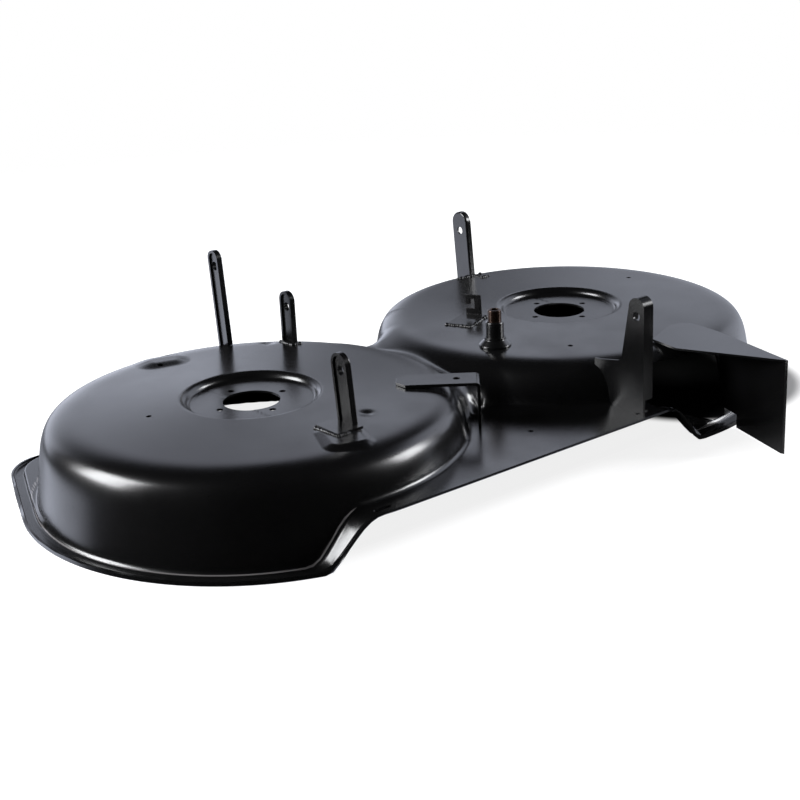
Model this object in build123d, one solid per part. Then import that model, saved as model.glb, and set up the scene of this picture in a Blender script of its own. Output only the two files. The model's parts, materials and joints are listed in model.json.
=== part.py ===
"""Twin-spindle mower deck: a pressed steel shell with welded hangers, straps and a discharge chute.

Millimetres. +X is the operator's right, +Y is forward and Z = 0 is the floor under the flange.
Inside the script Y = 0 is the spindle line; the finished pieces are moved to the middle of their box.
"""
import os
from math import atan2, cos, degrees, hypot, radians, sin, tan

from build123d import *

# Sheet and blade layout
SHEET = 2.8
SPINDLE_SPACING = 533.4
SPINDLE_HOLE_R = 36.2
SPINDLE_BOLT_CIRCLE = 94.2
SPINDLE_BOLT_D = 8.7
SPINDLE_BOLTS = 4

# Dome section, by radius from its spindle axis
SEAT_Z = 110.5
SEAT_R = 77.0
RIM_R = 87.5
RIM_Z = 120.0
SEAT_FILLET = 5.0
RIM_FILLET = 7.0
CROWN_FALL = 2.6
SHOULDER_FILLET = 40.0
WALL_R = 268.0
WALL_Z = 62.0
WALL_DRAFT = 9.0
WALL_FOOT_R = WALL_R + WALL_Z * tan(radians(WALL_DRAFT))

# Saddle that joins the domes
SADDLE_Z = 95.0
SADDLE_HALF_WIDTH = 122.0
SADDLE_FILLET = 28.0
SADDLE_BLEND = 8.0

# Flange, turned-up rim and rear apron; corners and ramps are placed from the nearer spindle axis
FLANGE_WIDTH = 19.2
LIP_R = WALL_FOOT_R + FLANGE_WIDTH
LIP_CENTRE_IN = 3.0
CORNER_R = 68.0
CORNER_OUT = 165.0
CORNER_Y = 207.0
RIM_EDGE_Z = 8.5
LEDGE_Z = 11.0
LEDGE_INSET = 17.0
LEDGE_FROM_Y = 60.0
APRON_Z = 60.0
RAMP_LEFT = -42.0
RAMP_RIGHT = -77.0
RAMP_RUN = 50.0
RAMP_FILLET = 28.0
FOOT_FILLET = 6.0

# Raised pads pressed into the left dome: centre, size, turn and top height
PAD_CENTRE = (-5.5, 205.4)
PAD_SIZE = (58.0, 38.0)
PAD_TURN = -17.0
PAD_Z = 118.5
PAD_HOLE_D = 8.0
PAD_HOLE_PITCH = 39.7
PAD_HOLE_TURN = 47.6
BOSS_CENTRE = (0.0, -194.0)
BOSS_SIZE = (54.0, 70.0)
BOSS_TURN = -20.0
BOSS_Z = 118.0
PAD_CORNER_R = 12.0

# Small openings in the shell, by their places from the nearer spindle axis
SMALL_HOLE_D = 7.0
LEFT_HOLES = [(-132.0, 26.0), (198.0, 137.0), (262.0, -230.0)]
RIGHT_HOLES = [(-115.0, -141.0), (180.0, 34.0)]
SLOT_LENGTH = 25.0
SLOT_WIDTH = 6.0
LEFT_SLOT = (-18.0, -287.5)
RIGHT_SLOT = (-124.0, -282.0)

# Discharge opening in the right dome and the folded chute over it, from the right axis
OPENING_FROM = -114.0
OPENING_TO = -80.0
OPENING_TOP = 104.0
OPENING_INNER_R = 200.0
CHUTE_SHEET = 3.0
CHUTE_TIP = (4.0, -408.0)
CHUTE_LEFT_REAR = (-40.0, -262.0)
CHUTE_LEFT_FRONT = (-27.0, -207.0)
CHUTE_FRONT_LEFT = (33.0, -181.0)
CHUTE_FRONT_RIGHT = (66.0, -181.0)
CHUTE_FOLD_FRONT = (54.0, -250.0)
CHUTE_CORNER_R = 20.0
CHUTE_RISE = 2.6
CHUTE_SEAT_SINK = 0.3
CHUTE_WALL_FRONT_Y = -258.0
CHUTE_WALL_Z = 1.5
CHUTE_NOTCH_Y = -304.0
CHUTE_NOTCH_Z = 20.0

# Pan-formed hanger straps: width, top height, place of the plate from its axis, lean forward
STRAP_SHEET = 3.5
STRAP_DEPTH = 9.2
STRAP_BEND = 2.5
STRAP_HOLE_D = 12.0
FRONT_LEFT_STRAP = dict(width=24.0, top=245.5, at=(106.0, 217.0), lean=4.8, hole_drop=22.0)
INNER_LEFT_STRAP = dict(width=26.0, top=188.0, at=(170.0, 152.5), lean=0.0, hole_drop=22.0)
REAR_LEFT_STRAP = dict(width=29.0, top=207.0, at=(28.0, -173.0), lean=6.0, hole_drop=22.0)
FRONT_RIGHT_STRAP = dict(width=34.0, top=212.0, at=(26.6, 243.0), lean=4.7, hole_drop=29.0)
STRAP_FOOT_REACH = 37.0
STRAP_FOOT_WIDTH = 44.0

# Wide rear right hanger, in its own plane: from the right axis, forward and up
HANGER_X = -133.4
HANGER_FLANGE = 17.0
HANGER_TOP_Y = -278.0
HANGER_TOP_Z = 200.0
HANGER_TOP_R = 13.0
HANGER_REAR_Y = -291.0
HANGER_NECK = (-252.0, 125.0)
HANGER_EAR = (-212.0, 118.0)
HANGER_FRONT_Y = -205.0
HANGER_CORNER_R = 22.0
HANGER_NECK_R = 10.0
HANGER_HOLE_DROP = 11.0

# Cross strap from the left dome to the apron
CROSS_START = (159.0, -92.0)
CROSS_END = (241.0, -160.0)
CROSS_WIDTH = 41.0
CROSS_SHEET = 4.0
CROSS_BEND = 6.0
CROSS_HOLE_D = 9.0
CROSS_HOLE_INSET = 30.0
CROSS_NOSE = 12.0

# Hook tab on the right dome
TAB_AT = (-140.0, 42.0)
TAB_TURN = 21.0
TAB_LENGTH = 48.0
TAB_WIDTH = 38.0
TAB_SHEET = 2.5
TAB_UPRIGHT_WIDTH = 25.0
TAB_UPRIGHT_HEIGHT = 32.0
TAB_SLOT = 5.5
TAB_THROAT_DEPTH = 14.0
TAB_THROAT_Z = 14.5
TAB_SLOT_RISE = 8.0

# Pivot post on the right dome and its collar
POST_AT = (-181.0, -64.0)
POST_D = 24.4
POST_TIP_D = 18.5
POST_BORE_D = 11.0
POST_BORE_DEPTH = 30.0
POST_BODY_TOP = 149.0
POST_TOP = 165.0
POST_CHAMFER = 1.5
POST_TIP_CHAMFER = 1.0
COLLAR_BASE_D = 43.5
COLLAR_NECK_D = 29.5
COLLAR_HEIGHT = 12.0
COLLAR_EDGE = 2.0
COLLAR_NECK = 3.0
COLLAR_FIT = 0.1

SUNK = 60.0
PIECE_SHIFT = Pos(0, -(LIP_R + CHUTE_TIP[1]) / 2, 0)


def axis_x(side):
    """X of the left (-1) or right (+1) spindle axis."""
    return side * SPINDLE_SPACING / 2


def at_axis(side, place, z=0):
    """Location of a place that is given from a spindle axis."""
    return Pos(axis_x(side) + place[0], place[1], z)


def wall_radius(z):
    """Radius of the drafted dome wall at a height."""
    return WALL_R + (WALL_Z - z) * tan(radians(WALL_DRAFT))


def crown_z(place):
    """Height of a dome's top outside its spindle seat."""
    return RIM_Z - (hypot(*place) - RIM_R) * tan(radians(CROWN_FALL))


def inset_face(face, inset):
    """The face drawn in by the inset, or as it is at inset 0."""
    return offset(face, -inset, kind=Kind.ARC) if inset else face


def outline(inset):
    """Plan outline of the flange: the hull of two lip circles and two smaller front corner circles."""
    rounds = []
    for side in (-1, 1):
        lip = at_axis(side, (-side * LIP_CENTRE_IN, 0))
        corner = at_axis(side, (side * CORNER_OUT, CORNER_Y))
        rounds.append(Edge.make_circle(LIP_R - inset).moved(lip))
        rounds.append(Edge.make_circle(CORNER_R - inset).moved(corner))
    return make_hull(rounds)


def dome(inset):
    """One dome about Z, solid down to below the floor."""
    draft = tan(radians(WALL_DRAFT))
    fall = tan(radians(CROWN_FALL))
    corner_r = (WALL_R + (WALL_Z - RIM_Z - fall * RIM_R) * draft) / (1 - fall * draft)
    bends = {
        (SEAT_R, SEAT_Z): SEAT_FILLET,
        (RIM_R, RIM_Z): RIM_FILLET,
        (corner_r, crown_z((corner_r, 0))): SHOULDER_FILLET,
    }
    face = make_face(Polyline((0, -SUNK), (0, SEAT_Z), *bends, (wall_radius(-SUNK), -SUNK), close=True))
    for place, radius in bends.items():
        face = fillet(face.vertices().sort_by_distance(place)[0], radius)
    return revolve(Plane.XZ * inset_face(face, inset), Axis.Z)


def saddle(inset):
    """The ridge between the domes, drawn across and run from axis to axis."""
    base = SADDLE_HALF_WIDTH + (SADDLE_Z + SUNK) * tan(radians(WALL_DRAFT))
    top = SADDLE_HALF_WIDTH
    face = make_face(Polyline((-base, -SUNK), (-top, SADDLE_Z), (top, SADDLE_Z), (base, -SUNK), close=True))
    face = fillet(face.vertices().group_by(Axis.Y)[-1], SADDLE_FILLET)
    return extrude(Plane.YZ * inset_face(face, inset), SPINDLE_SPACING / 2, both=True)


def domes(inset):
    """Both domes and the saddle, blended where they meet."""
    form = saddle(inset)
    for side in (-1, 1):
        form += at_axis(side, (0, 0)) * dome(inset)
    blend_reach = SPINDLE_SPACING / 2 - (WALL_R - SHOULDER_FILLET)

    def meets_saddle(edge):
        middle = edge.position_at(0.5)
        return 1 < abs(middle.X) < blend_reach and -SUNK + SHEET + 1 < middle.Z < SADDLE_Z + 1

    return fillet(form.edges().filter_by(meets_saddle), SADDLE_BLEND + inset)


def flange_line(inset):
    """Side section under the flange line: low, up the left ramp, along the apron, down the right ramp."""
    reach = LIP_R + SPINDLE_SPACING
    left = axis_x(-1) + RAMP_LEFT
    right = axis_x(1) + RAMP_RIGHT
    line = [(left - RAMP_RUN, SHEET), (left, APRON_Z), (right, APRON_Z), (right + RAMP_RUN, SHEET)]
    ends = [(reach, SHEET), (reach, -SUNK), (-reach, -SUNK), (-reach, SHEET)]
    face = make_face(Polyline(*line, *ends, close=True))
    bends = [v for v in face.vertices() if abs(v.X) < reach - 1]
    return inset_face(fillet(bends, RAMP_FILLET), inset)


def apron(inset):
    """Everything under the flange line behind the spindles, inside the outline."""
    block = extrude(Plane.XZ * flange_line(inset), 2 * LIP_R)
    return block & extrude(Pos(0, 0, -SUNK) * outline(inset), 2 * SUNK + APRON_Z)


def flange(inset):
    """The flat flange on the floor, solid down to below it."""
    return extrude(Pos(0, 0, -SUNK) * outline(inset), SUNK + SHEET - inset)


def front_ledge(inset):
    """The flat between the domes and the front of the flange, one step up from the flange."""
    prism = extrude(Pos(0, 0, -SUNK) * outline(LEDGE_INSET + inset), SUNK + LEDGE_Z - inset)
    front = Pos(0, LEDGE_FROM_Y + inset + LIP_R, 0) * Box(4 * SPINDLE_SPACING, 2 * LIP_R, 4 * SUNK)
    return prism & front


def turned_up_rim():
    """The edge of the flange, turned up all round but for the ramps and the apron."""
    ring = extrude(outline(0) - outline(SHEET), RIM_EDGE_Z)
    left = axis_x(-1) + RAMP_LEFT - RAMP_RUN
    right = axis_x(1) + RAMP_RIGHT + RAMP_RUN
    gap = Pos((left + right) / 2, -LIP_R, 0) * Box(right - left, LIP_R, 4 * RIM_EDGE_Z)
    return ring - gap


def pressed_pad(centre, size, turn, top, inset):
    """A flat-topped pad raised from the left dome."""
    plan = RectangleRounded(size[0] - 2 * inset, size[1] - 2 * inset, PAD_CORNER_R - inset)
    place = at_axis(-1, centre, SADDLE_Z - SHEET) * Rot(0, 0, turn)
    return place * extrude(plan, top - inset - (SADDLE_Z - SHEET))


def at_foot_of_wall(edge):
    """Whether an edge is where the domes and saddle stand on the apron, the ramps or the flange."""
    def wall_gap(point):
        return min(abs(hypot(point.X - axis_x(side), point.Y) - wall_radius(point.Z)) for side in (-1, 1))

    middle = edge.position_at(0.5)
    ends = [edge.position_at(0.02), edge.position_at(0.98)]
    if not SHEET / 2 < middle.Z < APRON_Z + 1:
        return False
    if abs(middle.X) < SADDLE_HALF_WIDTH / 2:
        level = abs(ends[0].Z - ends[1].Z) < 0.01
        return level and abs(middle.Y) < LIP_R / 2
    return max(wall_gap(point) for point in [middle] + ends) < 1


def fill(inset):
    """All that lies under the sheet: its outer side at inset 0, its inner side at inset SHEET."""
    form = domes(inset) + flange(inset) + apron(inset)
    if not inset:
        form = fillet(form.edges().filter_by(at_foot_of_wall), FOOT_FILLET)
    form += front_ledge(inset)
    form += pressed_pad(PAD_CENTRE, PAD_SIZE, PAD_TURN, PAD_Z, inset)
    form += pressed_pad(BOSS_CENTRE, BOSS_SIZE, BOSS_TURN, BOSS_Z, inset)
    return form


def small_openings():
    """Cutters for the spindle holes, their bolts, the small holes and the apron slots."""
    drill = RIM_Z + SUNK
    cutters = []
    for side, places, slot in ((-1, LEFT_HOLES, LEFT_SLOT), (1, RIGHT_HOLES, RIGHT_SLOT)):
        cutters.append(at_axis(side, (0, 0)) * Cylinder(SPINDLE_HOLE_R, 2 * drill))
        bolts = PolarLocations(SPINDLE_BOLT_CIRCLE / 2, SPINDLE_BOLTS)
        cutters += [at_axis(side, (0, 0)) * spot * Cylinder(SPINDLE_BOLT_D / 2, 2 * drill) for spot in bolts]
        cutters += [at_axis(side, place) * Cylinder(SMALL_HOLE_D / 2, 2 * drill) for place in places]
        cutters.append(at_axis(side, slot) * extrude(SlotOverall(SLOT_LENGTH, SLOT_WIDTH), drill))
    for end in (-1, 1):
        spot = at_axis(-1, PAD_CENTRE) * Rot(0, 0, PAD_HOLE_TURN) * Pos(end * PAD_HOLE_PITCH / 2, 0, 0)
        cutters.append(spot * Cylinder(PAD_HOLE_D / 2, 2 * drill))
    return cutters


def discharge_opening():
    """The part of the right dome's rear wall that is cut away above the flange line."""
    reach = LIP_R
    corner = [(reach * cos(radians(a)), reach * sin(radians(a))) for a in (OPENING_FROM, OPENING_TO)]
    inner = [(x * OPENING_INNER_R / LIP_R, y * OPENING_INNER_R / LIP_R) for x, y in corner]
    sector = make_face(Polyline(inner[0], corner[0], (0, -2 * reach), corner[1], inner[1], close=True))
    ring = extrude(sector, OPENING_TOP) & Cylinder(LIP_R, 4 * RIM_Z)
    return at_axis(1, (0, 0)) * ring - apron(0) - flange(0)


def deck_shell(outer):
    """The pressed sheet, open below the apron and with all its holes."""
    sheet = outer - fill(SHEET)
    floor = Pos(0, 0, -SUNK) * Box(4 * SPINDLE_SPACING, 4 * LIP_R, 2 * SUNK)
    rear = Pos(0, -WALL_FOOT_R, 0) * extrude(Plane.XZ * flange_line(SHEET), LIP_R)
    sheet -= [floor, rear, discharge_opening()]
    sheet += turned_up_rim()
    return sheet - small_openings()


def pan_strap(side, turn, width, top, at, lean, hole_drop):
    """A strap pressed as a shallow pan with a round top; its rim turns to -X or +X."""
    base = crown_z(at)
    height = top - base
    sink = SHEET + STRAP_DEPTH

    def plate(inset, deep):
        half = width / 2 - inset
        shoulder = height - width / 2
        sides = Polyline((half, shoulder), (half, -deep), (-half, -deep), (-half, shoulder))
        return make_face(sides + ThreePointArc((-half, shoulder), (0, shoulder + half), (half, shoulder)))

    pan = extrude(plate(0, sink), STRAP_DEPTH)
    back = pan.faces().sort_by(Axis.Z)[0]
    pan = fillet(back.edges().filter_by(lambda e: e.position_at(0.5).Y > -sink + 1), STRAP_BEND)
    hollow = Pos(0, 0, STRAP_SHEET) * extrude(plate(STRAP_SHEET, 2 * sink), STRAP_DEPTH)
    pan -= [hollow, Pos(0, height - hole_drop, 0) * Cylinder(STRAP_HOLE_D / 2, 4 * STRAP_SHEET)]
    origin = (axis_x(side) + at[0], at[1], base)
    return Plane(origin, x_dir=(0, turn, 0), z_dir=(turn, 0, 0)) * Rot(0, 0, -turn * lean) * pan


def strap_foot():
    """The foot of the rear left strap, turned outwards flat on its boss."""
    x, y = REAR_LEFT_STRAP["at"]
    plan = Pos(-STRAP_FOOT_REACH / 2, 0, 0) * Rectangle(STRAP_FOOT_REACH, STRAP_FOOT_WIDTH)
    return at_axis(-1, (x, y), BOSS_Z) * extrude(plan, STRAP_SHEET)


def rear_right_hanger():
    """The wide hanger: an ear on the dome's shoulder, a neck, a round top and a flange turned to +X."""
    top = (HANGER_TOP_Y, HANGER_TOP_Z)
    neck_top = (HANGER_TOP_Y + HANGER_TOP_R, HANGER_TOP_Z)
    rear_top = (HANGER_TOP_Y - HANGER_TOP_R, HANGER_TOP_Z)
    below = APRON_Z - SHEET
    points = [rear_top, (HANGER_REAR_Y, below), (HANGER_FRONT_Y, below), (HANGER_FRONT_Y, HANGER_EAR[1]),
              HANGER_EAR, HANGER_NECK, neck_top]
    crest = ThreePointArc(neck_top, (top[0], top[1] + HANGER_TOP_R), rear_top)
    face = make_face(Polyline(*points) + crest)
    face = fillet(face.vertices().sort_by_distance(HANGER_NECK)[0], HANGER_NECK_R)
    plate = extrude(face, STRAP_SHEET)
    rim_face = face - offset(face, -STRAP_SHEET, kind=Kind.ARC)
    rear_side = Pos(HANGER_REAR_Y, top[1], 0) * Box(4 * HANGER_TOP_R, 3 * top[1], 4 * HANGER_FLANGE)
    above = Pos(HANGER_REAR_Y, below + HANGER_CORNER_R + top[1], 0)
    above *= Box(8 * HANGER_TOP_R, 2 * top[1], 4 * HANGER_FLANGE)
    rim = extrude(rim_face, HANGER_FLANGE) & rear_side & above
    body = plate + rim
    body -= Pos(top[0], top[1] - HANGER_HOLE_DROP, 0) * Cylinder(STRAP_HOLE_D / 2, 4 * STRAP_SHEET)
    return Plane((axis_x(1) + HANGER_X, 0, 0), x_dir=(0, 1, 0), z_dir=(1, 0, 0)) * body


def cross_strap():
    """A flat strap on the left dome's top, folded down to stand on the apron."""
    start, end = Vector(*CROSS_START), Vector(*CROSS_END)
    run = (end - start).length
    top = crown_z(CROSS_START) + CROSS_SHEET
    drop = top - APRON_Z
    side = make_face(Polyline((0, 0), (run, 0), (run, -drop), (run - CROSS_SHEET, -drop),
                              (run - CROSS_SHEET, -CROSS_SHEET), (0, -CROSS_SHEET), close=True))
    inside = (run - CROSS_SHEET, -CROSS_SHEET)
    side = fillet(side.vertices().sort_by_distance((run, 0))[0], CROSS_BEND)
    side = fillet(side.vertices().sort_by_distance(inside)[0], CROSS_BEND - CROSS_SHEET)
    body = extrude(Plane.XZ * side, CROSS_WIDTH / 2, both=True)
    nose = [edge for edge in body.edges().filter_by(Axis.Z) if edge.position_at(0.5).X < 1]
    body = chamfer(nose, CROSS_NOSE)
    body -= Pos(run - CROSS_HOLE_INSET, 0, 0) * Cylinder(CROSS_HOLE_D / 2, 4 * CROSS_SHEET)
    heading = degrees(atan2(end.Y - start.Y, end.X - start.X))
    return at_axis(-1, CROSS_START, top) * Rot(0, 0, heading) * body


def hook_tab():
    """A small plate lying on the crown with an upright that has a hook slot."""
    r = hypot(*TAB_AT)
    fall = tan(radians(CROWN_FALL))
    normal = (TAB_AT[0] / r * fall, TAB_AT[1] / r * fall, 1)
    place = (axis_x(1) + TAB_AT[0], TAB_AT[1], crown_z(TAB_AT))
    heading = (cos(radians(TAB_TURN)), sin(radians(TAB_TURN)), 0)
    across = Vector(*normal).cross(Vector(*heading))
    seat = Plane(place, x_dir=across.cross(Vector(*normal)), z_dir=normal)
    foot = extrude(Rectangle(TAB_LENGTH, TAB_WIDTH), TAB_SHEET)
    upright = Pos(TAB_LENGTH / 2 - TAB_SHEET / 2, 0, TAB_UPRIGHT_HEIGHT / 2)
    upright *= Box(TAB_SHEET, TAB_UPRIGHT_WIDTH, TAB_UPRIGHT_HEIGHT)
    edge_y = TAB_UPRIGHT_WIDTH / 2
    throat = Pos(TAB_LENGTH / 2, edge_y, TAB_THROAT_Z) * Box(4 * TAB_SHEET, 2 * TAB_THROAT_DEPTH, TAB_SLOT)
    hook = Pos(TAB_LENGTH / 2, edge_y - TAB_THROAT_DEPTH + TAB_SLOT / 2, TAB_THROAT_Z + TAB_SLOT_RISE / 2)
    hook *= Box(4 * TAB_SHEET, TAB_SLOT, TAB_SLOT + TAB_SLOT_RISE)
    return seat * (foot + upright - throat - hook)


def post_collar():
    """The conical flanged collar that carries the post."""
    base = crown_z(POST_AT) - 2 * SHEET
    neck = crown_z(POST_AT) + COLLAR_HEIGHT
    rim = crown_z(POST_AT) + COLLAR_EDGE
    outer_r, neck_r, inner_r = COLLAR_BASE_D / 2, COLLAR_NECK_D / 2, POST_D / 2 + COLLAR_FIT
    section = Polyline((inner_r, base), (outer_r, base), (outer_r, rim), (neck_r, neck - COLLAR_NECK),
                       (neck_r, neck), (inner_r, neck), close=True)
    return at_axis(1, POST_AT) * revolve(Plane.XZ * make_face(section), Axis.Z)


def pivot_post():
    """A turned post with a reduced tip and a blind hole in its end."""
    base = crown_z(POST_AT) - 2 * SHEET
    bore = POST_BORE_D / 2
    body_r, tip_r = POST_D / 2, POST_TIP_D / 2
    section = Polyline((0, base), (body_r, base), (body_r, POST_BODY_TOP - POST_CHAMFER),
                       (body_r - POST_CHAMFER, POST_BODY_TOP), (tip_r, POST_BODY_TOP),
                       (tip_r, POST_TOP - POST_TIP_CHAMFER), (tip_r - POST_TIP_CHAMFER, POST_TOP),
                       (bore, POST_TOP), (bore, POST_TOP - POST_BORE_DEPTH),
                       (0, POST_TOP - POST_BORE_DEPTH), close=True)
    return at_axis(1, POST_AT) * revolve(Plane.XZ * make_face(section), Axis.Z)


def discharge_chute():
    """One folded sheet: a plate that rises rearwards from the crown and a wall down its right edge."""
    fold = [CHUTE_TIP, CHUTE_FOLD_FRONT]
    points = fold + [CHUTE_FRONT_RIGHT, CHUTE_FRONT_LEFT, CHUTE_LEFT_FRONT, CHUTE_LEFT_REAR]
    plan = make_face(Polyline(*points, close=True))
    plan = fillet(plan.vertices().sort_by_distance(CHUTE_FRONT_RIGHT)[0], CHUTE_CORNER_R)
    seat_z = crown_z(CHUTE_FRONT_RIGHT) - CHUTE_SEAT_SINK
    tilt = Pos(0, CHUTE_FRONT_LEFT[1], seat_z) * Rot(-CHUTE_RISE, 0, 0) * Pos(0, -CHUTE_FRONT_LEFT[1], 0)
    plate = tilt * extrude(plan, CHUTE_SHEET)
    under = tilt * Pos(0, 0, CHUTE_SHEET - 2 * POST_TOP) * extrude(offset(plan, LIP_R), 2 * POST_TOP)
    along_fold = Vector(*CHUTE_FOLD_FRONT) - Vector(*CHUTE_TIP)
    heading = degrees(atan2(along_fold.Y, along_fold.X))
    strip = Pos(*CHUTE_TIP, 0) * Rot(0, 0, heading)
    strip *= Box(2 * along_fold.length, 2 * CHUTE_SHEET, 2 * POST_TOP)
    wall = extrude(plan, POST_TOP) & under & strip
    wall -= Pos(0, CHUTE_WALL_FRONT_Y + LIP_R, 0) * Box(4 * LIP_R, 2 * LIP_R, 4 * POST_TOP)
    wall -= Pos(0, 0, CHUTE_WALL_Z - LIP_R) * Box(4 * LIP_R, 4 * LIP_R, 2 * LIP_R)
    wall -= Pos(0, CHUTE_NOTCH_Y + LIP_R, CHUTE_NOTCH_Z - LIP_R) * Box(4 * LIP_R, 2 * LIP_R, 2 * LIP_R)
    return at_axis(1, (0, 0)) * (plate + wall)


def main():
    outer = fill(0)
    welded = {
        "discharge_chute": discharge_chute(),
        "front_left_hanger": pan_strap(-1, -1, **FRONT_LEFT_STRAP),
        "inner_left_hanger": pan_strap(-1, -1, **INNER_LEFT_STRAP),
        "rear_left_hanger": pan_strap(-1, -1, **REAR_LEFT_STRAP) + strap_foot(),
        "front_right_hanger": pan_strap(1, 1, **FRONT_RIGHT_STRAP),
        "rear_right_hanger": rear_right_hanger(),
        "cross_strap": cross_strap(),
        "hook_tab": hook_tab(),
        "pivot_post": pivot_post(),
        "post_collar": post_collar(),
    }
    pieces = {"deck_shell": deck_shell(outer)}
    for name, piece in welded.items():
        pieces[name] = piece - outer
    os.makedirs("parts", exist_ok=True)
    for name, piece in pieces.items():
        export_step(PIECE_SHIFT * piece, f"parts/{name}.step")
        print(name, len(piece.solids()), round(piece.volume))


if __name__ == "__main__":
    main()
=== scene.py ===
# %% [markdown]
# # A pressed steel mower deck
# This lesson dresses a measured model of a mower deck: one steel sheet pressed into two blade
# domes, with hangers, straps and a chute welded on, all under one coat of black powder paint.
# The measured solids come in first. They set every size and place, and nothing here moves them.

# %% Load the measured model
import json
from math import cos, pi, radians, sin, tan

import bmesh
import bpy
import numpy as np
from mathutils import Matrix, Vector


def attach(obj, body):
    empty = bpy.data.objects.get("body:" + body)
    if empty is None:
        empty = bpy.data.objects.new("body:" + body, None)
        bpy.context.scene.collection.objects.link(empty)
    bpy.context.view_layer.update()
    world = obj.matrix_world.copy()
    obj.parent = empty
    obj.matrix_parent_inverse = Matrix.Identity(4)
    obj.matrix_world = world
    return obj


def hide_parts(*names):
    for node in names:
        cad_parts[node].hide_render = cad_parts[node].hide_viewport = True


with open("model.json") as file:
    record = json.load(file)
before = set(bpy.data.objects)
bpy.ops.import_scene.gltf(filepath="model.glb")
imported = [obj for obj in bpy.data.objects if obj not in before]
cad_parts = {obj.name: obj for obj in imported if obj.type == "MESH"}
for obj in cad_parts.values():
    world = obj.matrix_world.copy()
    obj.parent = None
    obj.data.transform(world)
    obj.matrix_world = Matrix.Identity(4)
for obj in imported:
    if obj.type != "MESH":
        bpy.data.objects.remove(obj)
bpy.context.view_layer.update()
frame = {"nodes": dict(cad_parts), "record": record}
mounts = {mount["name"]: mount["pos_m"] for mount in frame["record"]["mounts"]}
axis_x, axis_y, seat_z = mounts["right_spindle_bolts"]
print("nodes", len(frame["nodes"]), "half spindle spacing", axis_x)

# %% [markdown]
# ## Sizes of the pressing
# The shell is drawn again as a smooth skin from the solid's sizes, a few of them measured once more:
# metres, from the nearer spindle axis. A pressing has a round wherever the sheet bends, and each round
# has its radius here, so one line changes one bend everywhere. A pad's entry gives its centre, its
# size, its turn, the height of its top, the lean of its sides and its edge round.

# %% Name the shell's sizes
SHEET = 0.0028
HOLE_R = 0.0362
SEAT_R, RIM_R, RIM_Z = 0.0800, 0.0847, 0.120
SEAT_ROUND, RIM_ROUND, SHOULDER_EASE = 0.003, 0.006, 0.050
CROWN_FALL, WALL_DRAFT = radians(2.6), radians(9.0)
WALL_R, WALL_Z = 0.268, 0.062
SADDLE_Z, SADDLE_HALF, SADDLE_ROUND, SADDLE_BLEND = 0.095, 0.122, 0.028, 0.020
SADDLE_FRONT_HALF = 0.130
LIP_R, LIP_IN = 0.2995, 0.003
CORNER_R, CORNER_OUT, CORNER_Y = 0.0705, 0.165, 0.207
RIM_EDGE_Z, RIM_BAND, RIM_FADE, LIP_TURN = 0.0065, 0.006, 0.020, 0.0005
LEDGE_Z, LEDGE_INSET, LEDGE_ROUND = 0.011, 0.017, 0.003
LEDGE_FROM_Y, LEDGE_RUN_OUT = 0.060, 3
APRON_Z, RAMP_RUN, FOOT_ROUND = 0.060, 0.047, 0.007
RAMP_TOP_ROUND, RAMP_FOOT_ROUND = 0.020, 0.012
RAMP_TOP = {"left": -0.044, "right": 0.075}
RAMP_SKEW, RAMP_MID_V = radians(13), -0.285
PADS = [((-0.0055, 0.2054), (0.046, 0.032), radians(-17), 0.1185, 1.8, 0.004),
        ((0.000, -0.194), (0.050, 0.064), radians(-20), 0.118, 0.45, 0.006)]
PAD_CORNER, PAD_LIMIT, PAD_REACH = 0.012, 0.030, 0.066
DIMPLES = [((0.144, 0.176), 0.0022), ((0.0665, -0.1516), 0.0020)]
DIMPLE_WIDTH, DIMPLE_REACH = 0.008, 0.026

# %% [markdown]
# ## The skin as a distance
# Each form, such as dome, saddle, apron or pad, is written as a distance: negative inside it and
# positive outside. Two forms then join or cut with a rolling-ball round in one line, which is how
# a press tool is blended too. The height of the skin at any place is where that distance is zero.

# %% Write the pressing as a distance
OUTLINE_ANGLES = np.radians(np.arange(90, 271, 1.5))
SLOPE_STEP, NORMAL_STEP = 0.001, 0.0003
SEARCH_LOW, SEARCH_HIGH, SEARCH_STEPS = -0.02, 0.14, 26


def joined(a, b, r):
    """Two forms joined, with a fillet of radius r in the corner."""
    return np.maximum(r, np.minimum(a, b)) - np.hypot(np.maximum(r - a, 0), np.maximum(r - b, 0))


def common(a, b, r):
    """What two forms share, with its edge rounded to radius r."""
    return np.minimum(-r, np.maximum(a, b)) + np.hypot(np.maximum(r + a, 0), np.maximum(r + b, 0))


def eased(a, b, k):
    """What two forms share, with an edge so soft that no line shows where it starts."""
    h = np.maximum(k - np.abs(a - b), 0) / k
    return np.maximum(a, b) + h ** 3 * k / 6


def soft_min(a, b, k):
    """The smaller of two heights, eased over a band k."""
    h = np.clip(0.5 + 0.5 * (b - a) / k, 0, 1)
    return b + (a - b) * h - k * h * (1 - h)


def dome(rho, z):
    """A blade dome: a falling crown, a drafted wall and a sunk spindle seat."""
    crown = (z - RIM_Z + (rho - RIM_R) * tan(CROWN_FALL)) * cos(CROWN_FALL)
    wall = (rho - WALL_R - (WALL_Z - z) * tan(WALL_DRAFT)) * cos(WALL_DRAFT)
    run, rise = RIM_R - SEAT_R, RIM_Z - seat_z
    side = (-(rho - SEAT_R) * rise + (z - seat_z) * run) / np.hypot(run, rise)
    seat = joined(z - seat_z, side, SEAT_ROUND)
    return common(eased(crown, wall, SHOULDER_EASE), seat, RIM_ROUND)


def saddle(u, v, z):
    """The ridge that runs between the domes, from axis to axis."""
    half = np.where(v > 0, SADDLE_FRONT_HALF, SADDLE_HALF)
    side = (np.abs(v) - half - (SADDLE_Z - z) * tan(WALL_DRAFT)) * cos(WALL_DRAFT)
    return np.maximum(common(z - SADDLE_Z, side, SADDLE_ROUND), -u)


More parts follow.
